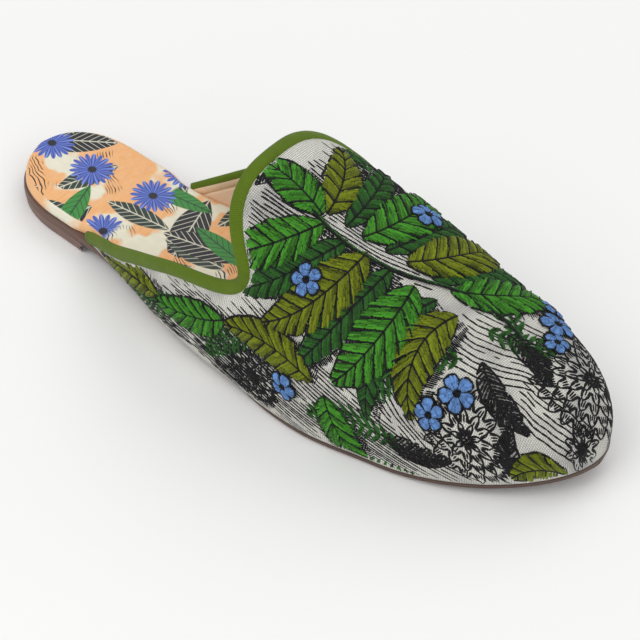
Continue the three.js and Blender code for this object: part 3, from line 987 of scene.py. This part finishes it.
def embroider(work):
    """The whole design in u and v: a leafy sprig over the vamp, ferns, flowers and hatching."""
    # start, end, bend, step to the last line, number of lines
    fields = (
        ((-46, 14), (-54, 122), 0.03, (-42, -16), 29),
        ((-58, -14), (-66, 40), 0.02, (-30, -10), 21),
        ((-74, -64), (-74, -6), 0.02, (-18, 0), 12),
        ((-24, 62), (-46, 112), -0.03, (-16, -6), 10),
        ((46, 14), (54, 120), -0.03, (42, -14), 29),
        ((58, -10), (66, 40), -0.02, (30, -10), 21),
        ((74, -60), (74, -6), -0.02, (18, 0), 12),
        ((14, 78), (34, 124), 0.03, (22, -8), 12),
        ((-22, 88), (-8, 124), 0.05, (30, -2), 13),
        ((-20, 116), (-14, 152), 0.06, (16, 2), 9),
        ((-34, 0), (-18, 74), 0.05, (66, 6), 44),
    )
    for start, end, bend, across, count in fields:
        furrows(work, start, end, bend, across, count)
    for heart, radius, turn, rings in (
            ((14, 134), 24, 0.2, 5), ((-38, 114), 18, 0.9, 4), ((48, 104), 16, 0.4, 4),
            ((-80, 28), 13, 0.1, 3), ((80, 22), 13, 0.6, 3), ((-8, 152), 9, 0.0, 2)):
        dahlia(work, heart, radius, turn, rings)
    # start, end, bend, half width
    for start, end, bend, half in (
            ((-16, 98), (-54, 74), 0.1, 8), ((8, 106), (32, 78), -0.12, 8), ((-60, 92), (-76, 54), 0.1, 7),
            ((-70, 0), (-86, -40), -0.08, 7), ((62, 86), (74, 50), -0.1, 7), ((74, 0), (86, -38), 0.08, 7),
            ((-34, 42), (-46, 8), 0.1, 6), ((24, 24), (42, 4), -0.1, 6), ((0, 96), (14, 118), 0.12, 6),
            ((-84, 64), (-70, 98), 0.1, 6), ((84, 60), (70, 92), -0.1, 6), ((-62, 30), (-88, 6), 0.1, 6)):
        fern(work, start, end, bend, half, "deep")
    # start, end, bend, half width, thread, layer
    leaves = (
        ((-4, 77), (-60, 78), 0.08, 7, "deep", 0), ((-6, 58), (-62, 44), -0.08, 7, "deep", 0),
        ((-9, 40), (-52, 12), -0.1, 7, "deep", 0), ((2, 70), (56, 84), 0.08, 7, "deep", 0),
        ((-2, 52), (56, 50), 0.1, 7, "deep", 0), ((-5, 36), (40, 20), 0.08, 6, "deep", 0),
        ((-4, 86), (-46, 95), 0.14, 9, "olive", 0.5), ((3, 78), (42, 98), 0.12, 9, "bright", 0.5),
        ((-6, 68), (-55, 61), -0.12, 10.5, "bright", 0.6), ((0, 60), (48, 67), 0.14, 10.5, "olive", 0.6),
        ((-8, 48), (-54, 28), -0.14, 10, "olive", 0.6), ((-4, 43), (46, 36), 0.14, 10, "bright", 0.6),
        ((-10, 30), (-43, 2), -0.1, 8.5, "bright", 0.5), ((-6, 28), (25, 8), 0.1, 7.5, "olive", 0.1),
        ((-8, 27), (-6, -6), 0.05, 8, "bright", 0.6),
        ((-62, 60), (-86, 84), 0.12, 8.5, "bright", 0.3), ((-60, 54), (-68, 12), 0.1, 8.5, "olive", 0.3),
        ((-66, 12), (-80, -24), -0.1, 8, "bright", 0.3), ((-78, -20), (-85, -60), 0.06, 7, "olive", 0.3),
        ((60, 56), (84, 78), -0.12, 8.5, "olive", 0.3), ((60, 52), (68, 12), -0.1, 8.5, "bright", 0.3),
        ((66, 10), (78, -24), 0.1, 8, "olive", 0.3), ((78, -20), (85, -56), -0.06, 7, "bright", 0.3),
        ((-22, 150), (-44, 130), 0.1, 6, "olive", 0.3), ((34, 136), (44, 112), 0.1, 6, "bright", 0.3),
        ((-12, 104), (-21, 133), 0.12, 5, "black", 0.1), ((4, 103), (-3, 127), -0.1, 4.5, "black", 0.1),
        ((-60, 84), (-51, 111), 0.1, 5, "black", 0.1), ((60, 84), (51, 111), -0.1, 5, "black", 0.1),
        ((-40, 134), (-24, 126), -0.1, 4.5, "black", 0.1), ((-2, 8), (-24, -3), 0.1, 4, "black", 0.0),
    )
    for start, end, bend, half, colour, layer in leaves:
        if colour != "black":
            shadow(work, start, end, bend, half)
    for start, end, bend, half, colour, layer in leaves:
        leaf(work, start, end, bend, half, colour, layer)
    stem = np.concatenate((bow((6, 108), (-1, 70), 0.12), bow((-1, 70), (-9, 22), -0.1)))
    work.line("black", stem, 1.5, 0.5, 2.4, pad=0.9)
    work.line("deep", stem + (0.3, 0.0), 1.0, 0.5, 2.6, pad=1.1)
    # middle, radius, turn, layer
    for heart, radius, turn, layer in (
            ((-27, 104), 6.5, 0.2, 0.2), ((-39, 99), 5.6, 0.7, 0.3), ((24, 110), 6.5, 0.1, 0.2),
            ((34, 102), 5.2, 0.5, 0.3), ((15, 116), 4.8, 0.9, 0.2), ((24, 50), 6.0, 0.3, 1.0),
            ((-30, 38), 5.6, 0.5, 1.0), ((-71, 43), 5.4, 0.2, 0.6), ((71, 41), 5.4, 0.2, 0.6)):
        blossom(work, heart, radius, turn, layer)


class MULE_OT_upper(bpy.types.Operator):
    """Makes the lasted canvas wall with its tan lining"""

    bl_idname = "mule.upper"
    bl_label = "Upper"
    bl_options = {"REGISTER", "UNDO"}
    TURNS, STEPS = 220, 120

    def execute(self, context):
        """One sheet over the last, given its thickness inwards."""
        sizes, colours = context.scene.mule_sizes, context.scene.mule_colours
        pattern = flat_pattern()

        def place(across, along):
            turn, start = topline(across)
            at = start + (LENGTH - start) * np.sin(math.pi / 2 * along)
            return wall_point(at, turn), pattern.flat(at, turn)

        bm = shaped_grid(self.TURNS, self.STEPS, place)
        bmesh.ops.remove_doubles(bm, verts=bm.verts, dist=1e-6)
        finishes = (canvas_finish(sizes, colours), lining_finish(colours))
        upper = new_piece("canvas_upper", bm, "canvas", *finishes)
        wall = upper.modifiers.new("wall", "SOLIDIFY")
        wall.thickness = WALL * MM
        wall.offset = -1.0
        wall.material_offset = 1
        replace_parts(upper, "upper")
        return {"FINISHED"}


class MULE_OT_embroidery(bpy.types.Operator):
    """Sews the thread embroidery onto the canvas"""

    bl_idname = "mule.embroidery"
    bl_label = "Embroidery"
    bl_options = {"REGISTER", "UNDO"}

    def execute(self, context):
        """One joined piece for each thread colour."""
        colours = context.scene.mule_colours
        work = Embroidery(flat_pattern(), context.scene.mule_sizes)
        embroider(work)
        for colour, (low, high) in THREADS.items():
            tint = colours.black if colour == "shade" else getattr(colours, colour)
            finish = thread_finish(colour + "_thread", tint, low, high)
            name = colour + "_stitches"
            dress(name, work.mesh(name, colour), "canvas", finish)
        return {"FINISHED"}


class MULE_OT_binding(bpy.types.Operator):
    """Makes the ribbed edge along the topline"""

    bl_idname = "mule.binding"
    bl_label = "Binding"
    bl_options = {"REGISTER", "UNDO"}
    SIDES, STEPS = 18, 620

    def execute(self, context):
        """An oval cord that follows the wall's top edge."""
        sizes, colours = context.scene.mule_sizes, context.scene.mule_colours
        reach, bulk, lap, probe = (BINDING[key] for key in ("reach", "bulk", "lap", "probe"))

        def edge(share):
            turn, at = topline(np.clip(share, 0, 1))
            return wall_point(at, turn, WALL / 2), wall_point(at + 1, turn, WALL / 2)

        shares = np.linspace(0, 1, SAMPLES)
        way = running(edge(shares)[0])

        def course(share):
            return unit(edge(share + probe)[0] - edge(share - probe)[0])

        hearts = edge(shares)[0]
        frames = unit(np.cross(edge(shares)[1] - hearts, course(shares)))
        low = (BINDING["eased"] - np.minimum(shares, 1 - shares)) / BINDING["fade"]
        low = np.clip(low, 0, 1)[1:-1, None]
        for step in range(BINDING["further"]):
            some = low if step > BINDING["smoothing"] else 1.0
            frames[1:-1] = unit(frames[1:-1] + some * (frames[:-2] + frames[2:]))
            hearts[1:-1] += some * (hearts[:-2] + hearts[2:] - 2 * hearts[1:-1]) / 3

        def between_shares(table, share):
            return np.stack([np.interp(share, shares, table[:, k]) for k in range(3)], -1)

        def place(around, share):
            heart = between_shares(hearts, share)
            along = unit(between_shares(hearts, share + probe) - between_shares(hearts, share - probe))
            normal = unit(between_shares(frames, share))
            out = unit(np.cross(normal, along))
            angle = 2 * math.pi * around
            tall = (reach + lap / 2) * (1 + np.cos(angle)) - lap
            sideways = out * tall[:, None] + normal * (bulk * np.sin(angle))[:, None]
            length = np.interp(share, shares, way)
            return heart + sideways, np.stack((around * BINDING["girth"], length), -1)

        bm = shaped_grid(self.SIDES, self.STEPS, place)
        close_up(bm)
        binding = new_piece("ribbed_binding", bm, "binding", binding_finish(sizes, colours))
        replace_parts(binding, "topline_binding")
        return {"FINISHED"}


class MULE_OT_insole(bpy.types.Operator):
    """Makes the padded insole wrapped in printed leather"""

    bl_idname = "mule.insole"
    bl_label = "Insole"
    bl_options = {"REGISTER", "UNDO"}
    AROUND, STATIONS = 64, 150
    CROWN = 0.5

    def execute(self, context):
        """Full width round the heel, then inside the upper's wall."""

        def place(around, along):
            at = (LENGTH - INSOLE["inset"]) * (1 - np.cos(math.pi * along)) / 2
            late = np.where(around > 0.5, INSOLE["late"], 0.0)
            step = (at - late - INSOLE["step_from"]) / (INSOLE["step_to"] - INSOLE["step_from"])
            step = np.clip(step, 0, 1)
            half = lower_edge(at, INSOLE["inset"] * step * step * (3 - 2 * step))
            thick = INSOLE["heel"] + (INSOLE["toe"] - INSOLE["heel"]) * at / LENGTH
            roll = np.minimum(np.minimum(INSOLE["roll"], half / 2), thick / 2)
            flat, arc, wall = half - roll, roll * math.pi / 2, thick - roll
            way = (around * 2 - 1) * (2 * half + arc + wall)
            reach = abs(way)
            turn = np.clip((reach - flat) / np.maximum(arc, 1e-6), 0, 1) * math.pi / 2
            down = np.clip(reach - flat - arc, 0, wall)
            under = np.clip(reach - flat - arc - wall, 0, half + roll)
            side = np.minimum(reach, flat) + roll * np.sin(turn)
            side = side - under * half / np.maximum(half + roll, 1e-6)
            crown = self.CROWN * np.clip(1 - (reach / np.maximum(flat, 1e-6)) ** 2, 0, 1)
            up = thick - roll * (1 - np.cos(turn)) - down + crown * np.minimum(1, half / 10)
            across = last("centre", at) + np.sign(way) * side
            point = np.stack((at, across, last("seat", at) + GAP + up), -1) + HEEL_END
            return point, np.stack((last("centre", at) + way, at), -1)

        bm = shaped_grid(self.AROUND, self.STATIONS, place)
        close_up(bm)
        finish = insole_finish(context.scene.mule_colours)
        insole = new_piece("wrapped_insole", bm, "insole_leather", finish)
        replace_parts(insole, "insole")
        return {"FINISHED"}


class MULE_OT_sole(bpy.types.Operator):
    """Makes the thin outsole and the low heel block"""

    bl_idname = "mule.sole"
    bl_label = "Sole and heel"
    bl_options = {"REGISTER", "UNDO"}
    AROUND, STATIONS = 40, 170
    HEEL_AROUND, HEEL_LEVELS = 88, 12
    SQUARENESS = 0.12  # 0 gives a square section, 1 a round one
    EASE = 0.5
    ARCH = (44.0, 144.0)
    WAIST = 1.4  # the edge is skived under the arch
    UNDERCUT = 1.7  # in front of the heel the edge slopes in towards the floor
    FADE = 30.0

    def execute(self, context):
        """The outsole follows the last, and the heel block stands under its back."""
        colours = context.scene.mule_colours
        bm = shaped_grid(self.AROUND, self.STATIONS, self.outsole)
        close_up(bm)
        finish = edge_finish("sole_edge", colours.sole, 900.0)
        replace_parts(new_piece("leather_outsole", bm, "sole_leather", finish), "outsole")
        bm = shaped_grid(self.HEEL_AROUND, self.HEEL_LEVELS, self.heel)
        close_up(bm)
        finish = edge_finish("heel_edge", colours.heel, 1100.0)
        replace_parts(new_piece("heel_block", bm, "heel_leather", finish), "heel")
        return {"FINISHED"}

    def outsole(self, around, along):
        """A flat section with eased corners, as wide as the upper's edge and a little more."""
        first, final = -LAST["edge"][0], LENGTH + LAST["edge"][-1]
        at = first + (final - first) * (1 - np.cos(math.pi * along)) / 2
        arch = np.clip((at - self.ARCH[0]) / (self.ARCH[1] - self.ARCH[0]), 0, 1)
        waist = self.WAIST * np.sin(math.pi * arch)
        half = np.maximum(0, lower_edge(at, -last("edge", at)) - waist)
        angle = 2 * math.pi * around
        square = [np.sign(f(angle)) * abs(f(angle)) ** self.SQUARENESS for f in (np.cos, np.sin)]
        ahead = (at - HEEL["breast"]) / self.FADE
        ease = self.EASE * np.clip(ahead, 0.1, 1)
        side = np.sign(square[0]) * np.maximum(0, half - ease * (1 - abs(square[0])) * 2)
        under = self.UNDERCUT * np.clip(ahead, 0, 1) * np.minimum(1, half / 5)
        side = side - np.sign(square[0]) * under * np.clip(-square[1], 0, 1) ** 2
        up = last("seat", at) - OUTSOLE / 2 + OUTSOLE / 2 * square[1]
        point = np.stack((at, last("centre", at) + side, up), -1) + HEEL_END
        return point, np.stack((at, side), -1)

    def heel(self, around, along):
        """Outlines from the floor up to the outsole, eased at the floor."""
        top = LAST["seat"][0] - OUTSOLE
        up = top * along ** 1.5
        flush = -LAST["edge"][0]
        foot = HEEL["foot"] * (1 - np.clip(up / HEEL["foot"], 0, 1)) ** 2
        inset = flush + HEEL["taper"] * (1 - up / top) + foot
        side = np.where(around < 0.5, 1, -1)
        share = np.where(around < 0.5, around * 2, 2 - around * 2)
        back = np.clip(share / 0.75, 0, 1)
        at = HEEL["breast"] + flush - inset
        at = at + (inset - at) * (1 - np.cos(math.pi * back)) / 2
        point = np.stack((at, last("centre", at) + side * lower_edge(at, inset), up), -1) + HEEL_END
        return point, np.stack((around * 120, up), -1)


class MULE_OT_stage(bpy.types.Operator):
    """Sets the floor, the soft lights and the camera"""

    bl_idname = "mule.stage"
    bl_label = "Stage"
    bl_options = {"REGISTER", "UNDO"}
    FLOOR = 4.0
    # place in metres, size, power in watts
    LIGHTS = (
        ((-0.5, -1.1, 1.5), 1.4, 11.0),
        ((1.2, -0.6, 1.2), 1.2, 5.0),
        ((-0.2, 1.2, 1.4), 1.4, 6.0),
    )

    def execute(self, context):
        """A pale floor under soft white light, seen from the photograph's angle."""
        self.floor(context.scene.mule_colours)
        self.lights()
        self.camera()
        return {"FINISHED"}

    def floor(self, colours):
        """A wide plain floor."""
        bm = bmesh.new()
        bmesh.ops.create_grid(bm, x_segments=4, y_segments=4, size=self.FLOOR)
        mesh = bpy.data.meshes.new("floor")
        bm.to_mesh(mesh)
        bm.free()
        finish = Finish("pale_floor", {"Specular IOR Level": 0.1})
        cloud = finish.noise(finish.place(), 3.0, 2.0)
        shade = finish.shade(tuple(colours.floor), cloud * 0.02 + 0.98)
        mesh.materials.append(finish.finished({"Base Color": shade, "Roughness": cloud * 0.1 + 0.85}))
        floor = bpy.data.objects.new("floor", mesh)
        bpy.context.scene.collection.objects.link(floor)

    def lights(self):
        """Large soft lights and an even white surround."""
        for k, (place, size, power) in enumerate(self.LIGHTS):
            data = bpy.data.lights.new(f"soft_light_{k}", "AREA")
            data.size = size
            data.energy = power
            light = bpy.data.objects.new(data.name, data)
            light.location = place
            light.rotation_euler = (-Vector(place)).to_track_quat("-Z", "Y").to_euler()
            bpy.context.scene.collection.objects.link(light)
        world = bpy.data.worlds.new("surround")
        world.use_nodes = True
        background = world.node_tree.nodes["Background"]
        background.inputs["Color"].default_value = (1.0, 1.0, 1.0, 1.0)
        background.inputs["Strength"].default_value = 0.6
        bpy.context.scene.world = world
        bpy.context.scene.view_settings.view_transform = "Standard"

    def camera(self):
        """The photograph's angle, turned about its own axis as the photograph is."""
        azimuth, elevation, roll = (math.radians(CAMERA[key]) for key in ("azimuth", "elevation", "roll"))
        level = math.cos(elevation)
        back = Vector((math.sin(azimuth) * level, -math.cos(azimuth) * level, math.sin(elevation)))
        right = Vector((math.cos(azimuth), math.sin(azimuth), 0.0))
        up = back.cross(right)
        cosine, sine = math.cos(roll), math.sin(roll)
        right, up = right * cosine + up * sine, up * cosine - right * sine
        aim = Vector(AIM) + right * AIM_SHIFT[0] + up * AIM_SHIFT[1]
        data = bpy.data.cameras.new("camera")
        data.lens = CAMERA["lens"]
        data.clip_end = 20.0
        camera = bpy.data.objects.new("camera", data)
        turn = Matrix((right, up, back)).transposed().to_4x4()
        camera.matrix_world = Matrix.Translation((aim + back * CAMERA["distance"]) * MM) @ turn
        bpy.context.scene.collection.objects.link(camera)
        bpy.context.scene.camera = camera


STEPS = (MULE_OT_upper, MULE_OT_embroidery, MULE_OT_binding, MULE_OT_insole, MULE_OT_sole, MULE_OT_stage)


class MULE_PT_panel(bpy.types.Panel):
    """Lists the steps that dress the shoe"""

    bl_idname = "MULE_PT_panel"
    bl_label = "Mule"
    bl_space_type = "VIEW_3D"
    bl_region_type = "UI"
    bl_category = "Mule"

    def draw(self, context):
        """One button for each step, then the sizes and colours."""
        for step in STEPS:
            self.layout.operator(step.bl_idname)
        for group in (context.scene.mule_sizes, context.scene.mule_colours):
            for name in group.__annotations__:
                self.layout.prop(group, name)


CLASSES = (MuleSizes, MuleColours, *STEPS, MULE_PT_panel)


def register():
    """Adds the classes and their settings to Blender."""
    for each in CLASSES:
        bpy.utils.register_class(each)
    bpy.types.Scene.mule_sizes = bpy.props.PointerProperty(type=MuleSizes)
    bpy.types.Scene.mule_colours = bpy.props.PointerProperty(type=MuleColours)


def unregister():
    """Takes them out again."""
    del bpy.types.Scene.mule_colours
    del bpy.types.Scene.mule_sizes
    for each in reversed(CLASSES):
        bpy.utils.unregister_class(each)


def main():
    """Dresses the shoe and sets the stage."""
    register()
    for step in STEPS:
        group, name = step.bl_idname.split(".")
        getattr(getattr(bpy.ops, group), name)()


if __name__ == "__main__":
    main()
